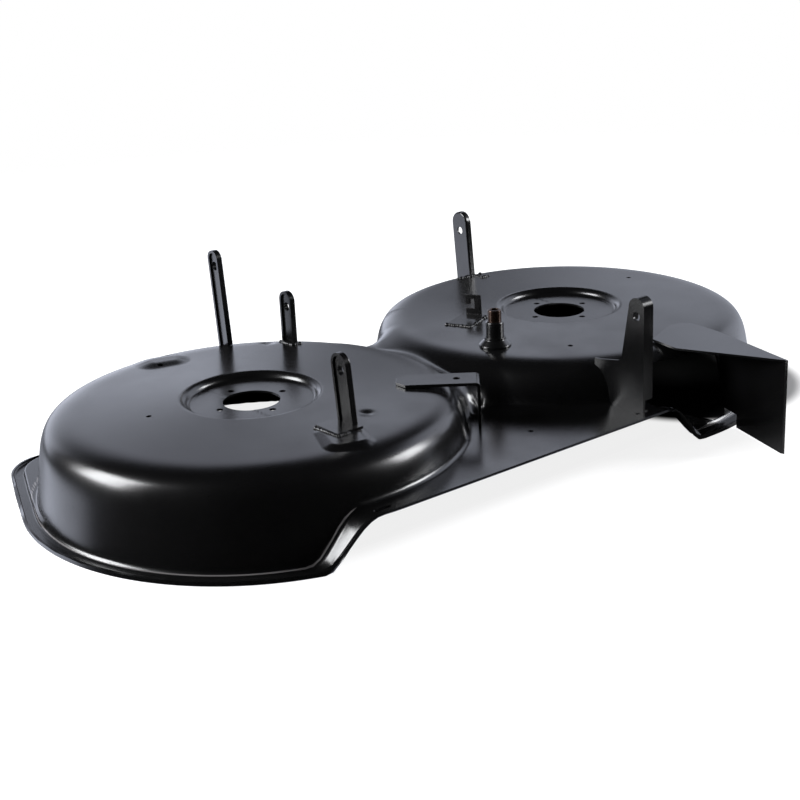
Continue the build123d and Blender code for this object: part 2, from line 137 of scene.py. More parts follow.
def flange_height(u, v, half):
    """Height of the flange: low all round, and up a ramp to the apron behind the domes."""
    run = u - RAMP_TOP[half] + RAMP_RUN + (v - RAMP_MID_V) * tan(RAMP_SKEW)
    line = SHEET + run * (APRON_Z - SHEET) / RAMP_RUN
    level = -soft_min(-SHEET, -soft_min(APRON_Z, line, RAMP_TOP_ROUND), RAMP_FOOT_ROUND)
    return np.where(v < 0, level, SHEET)


def edge_inset(u, v):
    """How far a place lies inside the flange's outline."""
    inset = np.full(np.shape(u), np.inf)
    for angle in OUTLINE_ANGLES:
        n = np.array([cos(angle), sin(angle)])
        reach = max(LIP_IN * n[0] + LIP_R, -CORNER_OUT * n[0] + CORNER_Y * n[1] + CORNER_R)
        inset = np.minimum(inset, reach - u * n[0] - v * n[1])
    return inset


def pad(u, v, z, centre, size, turn, top, lean, edge_round):
    """A pressed pad with a flat top, round corners and sloping sides."""
    du, dv = u - centre[0], v - centre[1]
    across = np.abs(du * cos(turn) + dv * sin(turn)) - size[0] / 2 + PAD_CORNER
    along = np.abs(dv * cos(turn) - du * sin(turn)) - size[1] / 2 + PAD_CORNER
    plan = np.hypot(np.maximum(across, 0), np.maximum(along, 0)) - PAD_CORNER
    plan = plan + np.minimum(np.maximum(across, along), 0)
    raised = common(z - top, (plan - (top - z) * lean) / np.hypot(1, lean), edge_round)
    return np.maximum(raised, plan - PAD_LIMIT)


def skin_base(u, v, half):
    """What the skin needs of a place at any height: the flange's level and lean, and the ledge's side."""
    rise = flange_height(u + SLOPE_STEP, v, half) - flange_height(u - SLOPE_STEP, v, half)
    slope = rise / (2 * SLOPE_STEP)
    ledge_side = LEDGE_INSET - edge_inset(u, v) + np.maximum(LEDGE_FROM_Y - v, 0) / LEDGE_RUN_OUT
    return flange_height(u, v, half), 1 / np.hypot(1, slope), ledge_side


def dome_form(u, v, z):
    """Both domes and the saddle between them, blended."""
    near, over, ridge = dome(np.hypot(u, v), z), dome(np.hypot(u - 2 * axis_x, v), z), saddle(u, v, z)
    reach = [np.maximum(SADDLE_BLEND - form, 0) for form in (near, over, ridge)]
    blended = np.maximum(SADDLE_BLEND, np.minimum(np.minimum(near, over), ridge))
    return blended - np.sqrt(sum(r * r for r in reach))


def skin_form(u, v, z, base, half, small=True):
    """Distance from the skin in a half's own axes, u towards the middle, with small forms if asked."""
    level, lean, ledge_side = base
    pressed = small and half == "left"
    sunk = z
    for (du, dv), depth in DIMPLES if pressed else ():
        sunk = sunk + depth * np.exp(-((u - du) ** 2 + (v - dv) ** 2) / DIMPLE_WIDTH ** 2)
    form = joined(dome_form(u, v, sunk), (z - level) * lean, FOOT_ROUND)
    form = joined(form, common(z - LEDGE_Z, ledge_side, LEDGE_ROUND), LEDGE_ROUND)
    for shape in PADS if pressed else ():
        form = joined(form, pad(u, v, z, *shape), shape[-1])
    return form


def skin_height(u, v, half, small=True):
    """Height at which the skin's distance is zero, found by halving."""
    base = skin_base(u, v, half)
    low, high = np.full(u.shape, SEARCH_LOW), np.full(u.shape, SEARCH_HIGH)
    for _ in range(SEARCH_STEPS):
        z = (low + high) / 2
        form = skin_form(u, v, z, base, half, small)
        low, high = np.where(form < 0, z, low), np.where(form < 0, high, z)
    return (low + high) / 2


def skin_normal(u, v, z, half):
    """Direction in which the distance grows: the true normal of the skin."""
    sides = []
    for du, dv, dz in np.eye(3) * NORMAL_STEP:
        ahead = skin_form(u + du, v + dv, z + dz, skin_base(u + du, v + dv, half), half)
        behind = skin_form(u - du, v - dv, z - dz, skin_base(u - du, v - dv, half), half)
        sides.append(ahead - behind)
    return np.stack(sides, axis=1) / np.linalg.norm(sides, axis=0)[:, None]


probe_u = np.array([0.05, 0.15, 0.2667, 0.2667])
probe_v = np.array([0.0, 0.0, 0.0, -0.25])
print("skin heights", np.round(skin_height(probe_u, probe_v, "left"), 4))

# %% [markdown]
# ## A fan of rays over each half
# The mesh is a fan: rays leave the spindle hole and end on the lip or on the middle plane. Along a
# ray the points crowd where the sheet bends and thin out where it is flat, so smooth shading has
# enough to work with and the flat crown stays light. Both halves share their points on the middle.

# %% Lay the fan out and lift it to the skin
LIP_RAYS, MID_RAYS = 160, 56
RAY_POINTS, RAY_SAMPLES = 80, 1100
POINT_EVERY, POINT_PER_TURN = 0.012, radians(8)
RIM_STEPS, NEIGHBOURS, AHEAD = 7, 7, 12
LIP_ANGLES = np.radians(np.arange(270, 89.9, -0.5))
SIDE = {"left": -1, "right": 1}


def lip_line():
    """The flange's outline round one half, from the rear of the middle plane to its front."""
    line = [(axis_x, -LIP_R)]
    for angle in LIP_ANGLES:
        n = np.array([cos(angle), sin(angle)])
        circles = [(np.array([LIP_IN, 0.0]), LIP_R), (np.array([-CORNER_OUT, CORNER_Y]), CORNER_R)]
        centre, radius = max(circles, key=lambda c: c[0] @ n + c[1])
        line.append(tuple(centre + radius * n))
    return np.array(line + [(axis_x, LIP_R)])


def spread(line, count):
    """Points at even steps along a line, and the line's direction at each."""
    run = np.concatenate([[0], np.cumsum(np.hypot(*np.diff(line, axis=0).T))])
    at = np.linspace(0, run[-1], count)
    points = np.stack([np.interp(at, run, line[:, i]) for i in (0, 1)], axis=1)
    heading = np.gradient(points, axis=0)
    return points, heading / np.linalg.norm(heading, axis=1, keepdims=True)


def along_rays(targets, half):
    """Points on the skin along each ray, crowded where it bends."""
    length = np.linalg.norm(targets, axis=1)
    share = np.linspace(0, 1, RAY_SAMPLES)
    rho = HOLE_R + (length[:, None] - HOLE_R) * share
    u, v = rho * (targets[:, 0] / length)[:, None], rho * (targets[:, 1] / length)[:, None]
    z = skin_height(u, v, half, small=False)
    d_rho, d_z = np.diff(rho, axis=1), np.diff(z, axis=1)
    turn = np.abs(np.diff(np.unwrap(np.arctan2(d_z, d_rho), axis=1), axis=1, append=0))
    turn[:, -1] = 0
    turn = sum(np.roll(turn, shift, axis=1) for shift in range(-AHEAD, AHEAD + 1)) / (2 * AHEAD + 1)
    need = np.hypot(d_rho, d_z) / POINT_EVERY + turn / POINT_PER_TURN
    need = sum(np.roll(need, shift, axis=0) for shift in range(-NEIGHBOURS, NEIGHBOURS + 1))
    weight = np.cumsum(need, axis=1)
    rays = np.empty((len(targets), RAY_POINTS, 3))
    for j in range(len(targets)):
        run = np.concatenate([[0], weight[j]])
        at = np.linspace(0, run[-1], RAY_POINTS)
        for axis, values in enumerate((u[j], v[j], z[j])):
            rays[j, :, axis] = np.interp(at, run, values)
    return rays


def edge_points(j):
    """Indices of the last point of a lip ray and of the rim points beyond it."""
    first = (LIP_RAYS + MID_RAYS) * RAY_POINTS + j * RIM_STEPS
    return [(j + 1) * RAY_POINTS - 1, *range(first, first + RIM_STEPS)]


def half_skin(half):
    """Points and quads of one half, with the flange's edge turned up where it lies low."""
    lip, heading = spread(lip_line(), LIP_RAYS)
    inward = np.stack([heading[:, 1], -heading[:, 0]], axis=1)
    foot = lip + RIM_BAND * inward
    foot[0], foot[-1] = lip[0] + (0, RIM_BAND), lip[-1] - (0, RIM_BAND)
    mid_v = np.linspace(foot[-1, 1], foot[0, 1], MID_RAYS + 2)[1:-1]
    middle = np.stack([np.full(MID_RAYS, axis_x), mid_v], axis=1)
    rays = along_rays(np.concatenate([foot, middle]), half)
    edge_z = rays[:LIP_RAYS, -1, 2]
    low = np.clip(1 - (edge_z - SHEET) / RIM_FADE, 0, 1)
    reach = RIM_BAND - SHEET * low
    rim = np.empty((LIP_RAYS, RIM_STEPS, 3))
    for m in range(RIM_STEPS):
        t = (m + 1) / RIM_STEPS
        rim[:, m, :2] = foot - inward * (reach * (2 * t - t * t))[:, None]
        rim[:, m, 2] = edge_z + (RIM_EDGE_Z - SHEET) * low * t * t + LIP_TURN * (1 - low) * t ** 3
    points = np.concatenate([rays.reshape(-1, 3), rim.reshape(-1, 3)])
    faces = []
    rings = LIP_RAYS + MID_RAYS
    for j in range(rings):
        here, following = j * RAY_POINTS, (j + 1) % rings * RAY_POINTS
        for i in range(RAY_POINTS - 1):
            faces.append((here + i, following + i, following + i + 1, here + i + 1))
    for j in range(LIP_RAYS - 1):
        a, b = edge_points(j), edge_points(j + 1)
        faces += [(a[m], b[m], b[m + 1], a[m + 1]) for m in range(RIM_STEPS)]
    return points, faces


def to_part(points, half):
    """Half coordinates to the part's own frame."""
    x = SIDE[half] * (axis_x - points[:, 0])
    return np.stack([x, points[:, 1] + axis_y, points[:, 2]], axis=1)


left_points, left_faces = half_skin("left")
right_points, right_faces = half_skin("right")
skin_points = np.concatenate([to_part(left_points, "left"), to_part(right_points, "right")])
offset = len(left_points)
skin_faces = left_faces + [tuple(offset + i for i in reversed(face)) for face in right_faces]
print("skin", len(skin_points), "points", len(skin_faces), "quads")

# %% [markdown]
# ## Raise the two pads
# Two small pads are pressed up out of the left crown, and two shallow dimples down into it. The fan is
# too coarse for their edges, so only the quads near them are split, and the new points are lifted to
# the same skin with these small forms added. The rest of the mesh keeps its few quads.

# %% Split the quads near the pads and lift them
SKIN_MERGE, FINE_CUTS = 0.00002, 3


def new_mesh_object(name, mesh):
    """A scene object for a mesh, at the origin."""
    piece = bpy.data.objects.new(name, mesh)
    bpy.context.scene.collection.objects.link(piece)
    return piece


shell_mesh = bpy.data.meshes.new("deck_skin")
shell_mesh.from_pydata(skin_points.tolist(), [], skin_faces)
work = bmesh.new()
work.from_mesh(shell_mesh)
bmesh.ops.remove_doubles(work, verts=work.verts, dist=SKIN_MERGE)
fine_places = [(centre, PAD_REACH) for centre, *_ in PADS]
fine_places += [(centre, DIMPLE_REACH) for centre, _ in DIMPLES]
fine_places = [(Vector((x - axis_x, y + axis_y)), reach) for (x, y), reach in fine_places]


def near_pad(point):
    """Whether a point lies near a pad or a dimple."""
    return any((point.xy - place).length < reach for place, reach in fine_places)


inside = [edge for edge in work.edges if all(near_pad(vert.co) for vert in edge.verts)]
bmesh.ops.subdivide_edges(work, edges=inside, cuts=FINE_CUTS, use_grid_fill=True)
lifted = [vert for vert in work.verts if near_pad(vert.co)]
pad_u = np.array([vert.co.x + axis_x for vert in lifted])
pad_v = np.array([vert.co.y - axis_y for vert in lifted])
for vert, height in zip(lifted, skin_height(pad_u, pad_v, "left")):
    vert.co.z = height
work.to_mesh(shell_mesh)
work.free()
deck = new_mesh_object("deck_skin", shell_mesh)
print("split and lifted", len(lifted), "points")

# %% [markdown]
# ## Draw the punches
# The bolt holes, small holes, slots and the mouth of the chute are drawn as closed prisms in one mesh.
# Many cutters in one mesh are cut in one pass later, which is quicker and cleaner than one by one.

# %% Draw every opening as a prism
BOLT_CIRCLE_R, BOLT_R, SMALL_R = 0.0471, 0.00435, 0.0035
PAD_PITCH, PAD_HOLE_TURN, PAD_HOLE_R, CUT_SIDES = 0.0397, radians(47.6), 0.004, 24
PUNCH_FROM_Z, PUNCH_TO_Z = -0.05, 0.2
SMALL_HOLES = {-1: [(-0.132, 0.026), (0.198, 0.137), (0.262, -0.230)],
               1: [(-0.115, -0.141), (0.180, 0.034)]}
SLOTS = {-1: (-0.018, -0.2875), 1: (-0.124, -0.282)}
SLOT_LENGTH, SLOT_R = 0.025, 0.003
MOUTH_FROM, MOUTH_TO = radians(-114), radians(-80)
MOUTH_TOP, MOUTH_IN_R, MOUTH_LIFT, MOUTH_STEPS = 0.104, 0.200, 0.0045, 24


def add_prism(bm, plan, low, high):
    """A closed prism between a low and a high ring of heights over a plan, anticlockwise."""
    rings = [[bm.verts.new((x, y, z)) for (x, y), z in zip(plan, heights)] for heights in (low, high)]
    count = len(plan)
    bm.faces.new(reversed(rings[0]))
    bm.faces.new(rings[1])
    for i in range(count):
        j = (i + 1) % count
        bm.faces.new((rings[0][i], rings[0][j], rings[1][j], rings[1][i]))


def add_drill(bm, x, y, r, stretch=0.0):
    """A round or slotted punch through the sheet at a place."""
    turn = np.linspace(0, 2 * pi, CUT_SIDES, endpoint=False)
    plan = [(x + r * cos(a) + np.sign(round(cos(a), 6)) * stretch / 2, y + r * sin(a)) for a in turn]
    add_prism(bm, plan, [PUNCH_FROM_Z] * CUT_SIDES, [PUNCH_TO_Z] * CUT_SIDES)


cuts = bmesh.new()
for side in (-1, 1):
    x0 = side * axis_x
    for quarter in range(4):
        angle = quarter * pi / 2
        add_drill(cuts, x0 + BOLT_CIRCLE_R * cos(angle), axis_y + BOLT_CIRCLE_R * sin(angle), BOLT_R)
    for hole_x, hole_y in SMALL_HOLES[side]:
        add_drill(cuts, x0 + hole_x, axis_y + hole_y, SMALL_R)
    add_drill(cuts, x0 + SLOTS[side][0], axis_y + SLOTS[side][1], SLOT_R, SLOT_LENGTH - 2 * SLOT_R)
pad_x, pad_y = PADS[0][0]
for end in (-1, 1):
    reach = end * PAD_PITCH / 2
    hole_x, hole_y = pad_x + reach * cos(PAD_HOLE_TURN), pad_y + reach * sin(PAD_HOLE_TURN)
    add_drill(cuts, hole_x - axis_x, hole_y + axis_y, PAD_HOLE_R)
mouth_angles = np.linspace(MOUTH_FROM, MOUTH_TO, MOUTH_STEPS)
ring_out = [(LIP_R * cos(a), LIP_R * sin(a)) for a in mouth_angles]
ring_in = [(MOUTH_IN_R * cos(a), MOUTH_IN_R * sin(a)) for a in mouth_angles]
mouth_plan = np.array(ring_out + ring_in[::-1])
mouth_floor = flange_height(-mouth_plan[:, 0], mouth_plan[:, 1], "right") + MOUTH_LIFT
mouth_part = [(x + axis_x, y + axis_y) for x, y in mouth_plan]
add_prism(cuts, mouth_part, mouth_floor, [MOUTH_TOP] * len(mouth_plan))
bmesh.ops.recalc_face_normals(cuts, faces=cuts.faces)
cut_mesh = bpy.data.meshes.new("punches")
cuts.to_mesh(cut_mesh)
cuts.free()
punches = new_mesh_object("punches", cut_mesh)
print("punches", len(cut_mesh.polygons), "faces")

# %% [markdown]
# ## Thickness and openings
# Solidify gives the skin the sheet's thickness, inwards, so the outside keeps its measured size. Under
# the turned-up edge of the flange the lower layer is moved out to an upright face that stands on the
# floor, as a folded edge does. One Boolean then punches all the openings.

# %% Give the sheet its thickness and punch the openings
OUTLINE_STEP, SAME, SHARP_ANGLE = 0.0005, 1e-6, radians(32)


def baked(piece):
    """Replaces a piece's mesh by what its modifiers make of it, and drops the modifiers."""
    evaluated = piece.evaluated_get(bpy.context.evaluated_depsgraph_get())
    mesh = bpy.data.meshes.new_from_object(evaluated)
    piece.modifiers.clear()
    piece.data = mesh
    return mesh


def square_rim(top, under):
    """Moves the underside of the turned-up edge out to an upright outer face that stands on the floor."""
    moved = under.copy()
    for half, side in SIDE.items():
        own = np.where(top[:, 0] * side >= 0)[0]
        u, v = axis_x - side * top[own, 0], top[own, 1] - axis_y
        inset = edge_inset(u, v)
        band = inset < RIM_BAND - SAME
        own, u, v, inset = own[band], u[band], v[band], inset[band]
        low = np.clip(1 - (flange_height(u, v, half) - SHEET) / RIM_FADE, 0, 1)[:, None]
        slope = np.stack([edge_inset(u + OUTLINE_STEP, v) - edge_inset(u - OUTLINE_STEP, v),
                          edge_inset(u, v + OUTLINE_STEP) - edge_inset(u, v - OUTLINE_STEP)], axis=1)
        outward = -slope / np.linalg.norm(slope, axis=1, keepdims=True)
        t = 1 - np.sqrt(np.clip(1 - (RIM_BAND - inset) / (RIM_BAND - SHEET), 0, 1))
        shift = inset - RIM_BAND * np.clip(1 - 2 * t, 0, 1)
        plan = np.stack([u, v], axis=1) + outward * shift[:, None]
        height = RIM_EDGE_Z * np.clip(2 * t - 1, 0, 1)
        target = to_part(np.column_stack([plan, height]), half)
        moved[own] = under[own] + (target - under[own]) * low
    return moved


thick = deck.modifiers.new("thickness", "SOLIDIFY")
thick.thickness, thick.offset, thick.use_even_offset = SHEET, -1, True
skin_co = np.array([vert.co for vert in deck.data.vertices])
mesh = baked(deck)
sheet_co = np.array([vert.co for vert in mesh.vertices])
count = len(skin_co)
skin_first = np.abs(sheet_co[:count] - skin_co).max() < SAME
lower = slice(count, 2 * count) if skin_first else slice(0, count)
sheet_co[lower] = square_rim(skin_co, sheet_co[lower])
sheet_co[:, 2] = np.maximum(sheet_co[:, 2], 0)
mesh.vertices.foreach_set("co", sheet_co.ravel())
punch = deck.modifiers.new("punch", "BOOLEAN")
punch.operation, punch.solver, punch.object = "DIFFERENCE", "EXACT", punches
baked(deck)
bpy.data.objects.remove(punches)
deck.data.shade_smooth()
deck.data.set_sharp_from_angle(angle=SHARP_ANGLE)
print("shell", len(deck.data.polygons), "faces")

# %% [markdown]
# ## True normals
# Long thin quads blur smooth shading, and gloss shows every blur as a streak. The distance knows the
# true normal at any point, so each corner on the outer skin gets it, and the reflections run as clean
# as on a real pressing. The same pass marks the groove at the foot of the wall, which the paint turns
# light grey: partly settled dust, partly a painted highlight along the crease.

# %% Set the skin's normals and mark the groove
SKIN_NEAR, NORMAL_AGREES = 0.0003, 0.35
GROOVE_BAND, GROOVE_TOP = 0.0013, 0.058

mesh = deck.data
places = np.empty(len(mesh.vertices) * 3)
mesh.vertices.foreach_get("co", places)
places = places.reshape(-1, 3)
true_normal = np.zeros(places.shape)
off_skin, groove = np.full(len(places), np.inf), np.zeros(len(places))
for half, side in SIDE.items():
    own = places[:, 0] * side >= 0
    u, v, z = axis_x - side * places[own, 0], places[own, 1] - axis_y, places[own, 2]
    base = skin_base(u, v, half)
    off_skin[own] = np.abs(skin_form(u, v, z, base, half))
    normal = skin_normal(u, v, z, half)
    normal[:, 0] *= -side
    true_normal[own] = normal
    corner = np.abs(dome_form(u, v, z) - (z - base[0]) * base[1])
    groove[own] = np.clip(1 - corner / GROOVE_BAND, 0, 1) * (base[0] < GROOVE_TOP)
groove[off_skin > SKIN_NEAR] = 0
corner_vert = np.empty(len(mesh.loops), dtype=int)
mesh.loops.foreach_get("vertex_index", corner_vert)
face_size = np.empty(len(mesh.polygons), dtype=int)
mesh.polygons.foreach_get("loop_total", face_size)
face_normal = np.array([face.normal for face in mesh.polygons]).repeat(face_size, axis=0)
agrees = (true_normal[corner_vert] * face_normal).sum(axis=1) > NORMAL_AGREES
agrees &= off_skin[corner_vert] < SKIN_NEAR
mesh.normals_split_custom_set(np.where(agrees[:, None], true_normal[corner_vert], 0).tolist())
mesh.attributes.new("groove", "FLOAT", "POINT").data.foreach_set("value", groove)
print("true normals at", int(agrees.sum()), "of", len(agrees), "corners")

# %% [markdown]
# ## Soften the welded pieces
# A cut and folded bracket never has a knife edge: the press leaves a small round and the paint
# fills it. Each bracket is a copy of its solid with coplanar facets merged and a narrow bevel on
# the sharp edges. The bevel catches a thin line of light, which is how the eye reads steel sheet.
# In the three left straps the floor of the pan comes forward, because the pans look shallower than
# in the solids.

# %% Copy and bevel the brackets, the post and the chute
EDGE_ROUND, EDGE_STEPS, FLAT_WEIGHT = 0.0008, 2, 80
NODE_MERGE, MERGE_ANGLE, BEVEL_ANGLE = 0.00001, radians(0.4), radians(35)
STRAP_SHEET, PAN_FILL, ON_FLOOR = 0.0035, 0.0030, 0.00001
OPEN_STRAPS = [node for node in frame["nodes"] if node.endswith("left_hanger")]


def softened(node):
    """A bevelled copy of a measured node that stands for it."""
    mesh = frame["nodes"][node].data.copy()
    mesh.materials.clear()
    bm = bmesh.new()
    bm.from_mesh(mesh)
    bmesh.ops.remove_doubles(bm, verts=bm.verts, dist=NODE_MERGE)
    bmesh.ops.dissolve_limit(bm, angle_limit=MERGE_ANGLE, verts=bm.verts, edges=bm.edges)
    if node in OPEN_STRAPS:
        floor_x = max(vert.co.x for vert in bm.verts) - STRAP_SHEET
        for vert in bm.verts:
            vert.co.x -= PAN_FILL * (abs(vert.co.x - floor_x) < ON_FLOOR)
    bm.to_mesh(mesh)
    bm.free()
    piece = new_mesh_object(node + "_soft", mesh)
    bevel = piece.modifiers.new("edge", "BEVEL")
    bevel.width, bevel.segments = EDGE_ROUND, EDGE_STEPS
    bevel.limit_method, bevel.angle_limit = "ANGLE", BEVEL_ANGLE
    mesh.shade_smooth()
    weighted = piece.modifiers.new("flat faces first", "WEIGHTED_NORMAL")
    weighted.weight = FLAT_WEIGHT
    baked(piece)
    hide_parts(node)
    return piece


welded = {node: softened(node) for node in frame["nodes"] if node != "deck_shell"}
print("softened", sorted(welded))

# %% [markdown]
# ## Black powder coat
# Powder coat is a baked plastic film: nearly black, with a soft sheen and a faint ripple called
# orange peel. The base colour stays very dark, because the picture's greys are all reflections.
# Two noises do the rest: a fine one for the ripple and a broad one that varies the sheen. Small cells
# lose their shine, as specks in the film do, and three brackets have a thinner, duller coat.

# %% Make the paint
PAINT_COLOUR = (0.006, 0.006, 0.0063, 1)
PAINT_ROUGH, SHEEN_SCALE, SHEEN_SPAN = (0.21, 0.27), 14.0, (0.3, 0.7)
PEEL_SCALE, PEEL_STRENGTH, PEEL_DEPTH = 700.0, 0.05, 0.0006
DUST_AND_HIGHLIGHT_COLOUR = (0.42, 0.40, 0.40, 1)
SPECK_SCALE, SPECK_SIZE, SPECK_CORE, SPECK_SHINE = 105.0, 0.095, 0.6, 0.15
THIN_COATED = ("rear_right_hanger", "hook_tab", "inner_left_hanger")
THIN_SHINE = 0.4


def wire(tree, out_node, out_name, in_node, in_name):
    """Links one node's output to another's input by name."""
    tree.links.new(out_node.outputs[out_name], in_node.inputs[in_name])


def node_of(tree, kind, **inputs):
    """A shader node with some of its inputs set by name."""
    made = tree.nodes.new(kind)
    for name, value in inputs.items():
        made.inputs[name.replace("_", " ")].default_value = value
    return made


def new_material(name):
    """An empty node material with its output and one Principled shader."""
    material = bpy.data.materials.new(name)
    material.use_nodes = True
    tree = material.node_tree
    tree.nodes.clear()
    shader = tree.nodes.new("ShaderNodeBsdfPrincipled")
    output = tree.nodes.new("ShaderNodeOutputMaterial")
    wire(tree, shader, "BSDF", output, "Surface")
    return material, tree, shader


def math_node(tree, operation, first, second):
    """A maths node fed by sockets or numbers."""
    made = tree.nodes.new("ShaderNodeMath")
    made.operation = operation
    for socket, value in zip(made.inputs, (first, second)):
        if isinstance(value, (int, float)):
            socket.default_value = value
        else:
            tree.links.new(value, socket)
    return made.outputs["Value"]


def mix_node(tree, factor, first, second):
    """A colour mix fed by sockets or colours."""
    made = tree.nodes.new("ShaderNodeMix")
    made.data_type = "RGBA"
    tree.links.new(factor, made.inputs["Factor"])
    for name, value in (("A", first), ("B", second)):
        socket = [s for s in made.inputs if s.name == name and s.type == "RGBA"][0]
        if isinstance(value, tuple):
            socket.default_value = value
        else:
            tree.links.new(value, socket)
    return [s for s in made.outputs if s.type == "RGBA"][0]


def ramp_node(tree, value, start, end):
    """A smooth step from 0 to 1 between two values."""
    made = tree.nodes.new("ShaderNodeMapRange")
    made.interpolation_type = "SMOOTHSTEP"
    made.inputs["From Min"].default_value = start
    made.inputs["From Max"].default_value = end
    tree.links.new(value, made.inputs["Value"])
    return made.outputs["Result"]


def powder_coat(name, shine=1.0):
    """Black paint with orange peel, a few dull specks, and a light grey line where the mesh marks a
    groove: dust and a painted highlight.
    """
    material, tree, shader = new_material(name)
    place = tree.nodes.new("ShaderNodeTexCoord")
    cells = node_of(tree, "ShaderNodeTexVoronoi", Scale=SPECK_SCALE)
    dull = node_of(tree, "ShaderNodeMapRange", From_Min=SPECK_CORE * SPECK_SIZE, From_Max=SPECK_SIZE,
                   To_Min=SPECK_SHINE * shine, To_Max=shine)
    wire(tree, place, "Object", cells, "Vector")
    wire(tree, cells, "Distance", dull, "Value")
    wire(tree, dull, "Result", shader, "Specular IOR Level")
    mark = tree.nodes.new("ShaderNodeAttribute")
    mark.attribute_name = "groove"
    # The groove's light grey is partly dust and partly a painted highlight for the bright line at the
    # wall's foot.
    colour = mix_node(tree, mark.outputs["Fac"], PAINT_COLOUR, DUST_AND_HIGHLIGHT_COLOUR)
    tree.links.new(colour, shader.inputs["Base Color"])
    broad = node_of(tree, "ShaderNodeTexNoise", Scale=SHEEN_SCALE, Detail=3.0)
    sheen = node_of(tree, "ShaderNodeMapRange", From_Min=SHEEN_SPAN[0], From_Max=SHEEN_SPAN[1],
                    To_Min=PAINT_ROUGH[0], To_Max=PAINT_ROUGH[1])
    peel = node_of(tree, "ShaderNodeTexNoise", Scale=PEEL_SCALE, Detail=2.0)
    bump = node_of(tree, "ShaderNodeBump", Strength=PEEL_STRENGTH, Distance=PEEL_DEPTH)
    wire(tree, place, "Object", broad, "Vector")
    wire(tree, place, "Object", peel, "Vector")
    wire(tree, broad, "Fac", sheen, "Value")
    wire(tree, sheen, "Result", shader, "Roughness")
    wire(tree, peel, "Fac", bump, "Height")
    wire(tree, bump, "Normal", shader, "Normal")
    return material


paint = powder_coat("black_powder_coat")
thin_paint = powder_coat("thin_black_coat", THIN_SHINE)
for piece in [deck, *welded.values()]:
    thin = any(piece == welded[node] for node in THIN_COATED)
    piece.data.materials.clear()
    piece.data.materials.append(thin_paint if thin else paint)
    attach(piece, "root")
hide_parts("deck_shell")
print("painted", len(welded) + 1, "pieces")

# %% [markdown]
# ## A bare post tip
# The pivot post is painted up to its step, and its tip was left bare for the part that turns on it.
# Bare steel browns a little in the paint oven. One material does both: the height in the post's own
# coordinates chooses between paint and metal, so the border sits exactly on the step.

# %% Paint the post below its step and leave the tip bare
TIP_FROM, TIP_BLEND = 0.1492, 0.0002
TIP_COLOUR, TIP_METAL = (0.060, 0.035, 0.024, 1), 0.8
post_paint = powder_coat("post_paint_and_bare_tip")
tree = post_paint.node_tree
shader = next(made for made in tree.nodes if made.type == "BSDF_PRINCIPLED")
place = tree.nodes.new("ShaderNodeTexCoord")
height = tree.nodes.new("ShaderNodeSeparateXYZ")
wire(tree, place, "Object", height, "Vector")
bare = ramp_node(tree, height.outputs["Z"], TIP_FROM - TIP_BLEND, TIP_FROM + TIP_BLEND)
painted = shader.inputs["Base Color"].links[0].from_socket
tree.links.new(mix_node(tree, bare, painted, TIP_COLOUR), shader.inputs["Base Color"])
tree.links.new(math_node(tree, "MULTIPLY", bare, TIP_METAL), shader.inputs["Metallic"])
welded["pivot_post"].data.materials.clear()
welded["pivot_post"].data.materials.append(post_paint)
print("bare above", TIP_FROM)

# %% [markdown]
# ## Weld beads
# A hand weld is a row of small overlapping drops, never quite even. A short path is drawn along each
# foot that shows one, laid on the skin, and one Geometry Nodes tree sets drops along it: the spacing,
# size, unevenness and seed are named inputs, so every weld can be made finer or rougher in one place.

# %% Lay weld beads along the feet
BEADS = [(-1, [(0.1598, 0.1675), (0.1598, 0.1380), (0.1715, 0.1380)]),
         (-1, [(-0.0095, -0.1520), (-0.0105, -0.1745), (-0.0095, -0.1955), (0.0060, -0.1960)]),
         (1, [(0.0020, 0.2270), (0.0240, 0.2255), (0.0380, 0.2235), (0.0480, 0.2250)]),
         (1, [(0.0430, 0.2030), (0.0300, 0.2025), (0.0310, 0.2200)]),
         (1, [(-0.1692, 0.0511), (-0.1556, 0.0157), (-0.1108, 0.0329)])]
BEAD_INPUTS = {"Radius": 0.0027, "Spacing": 0.0030, "Unevenness": 0.35, "Seed": 11}


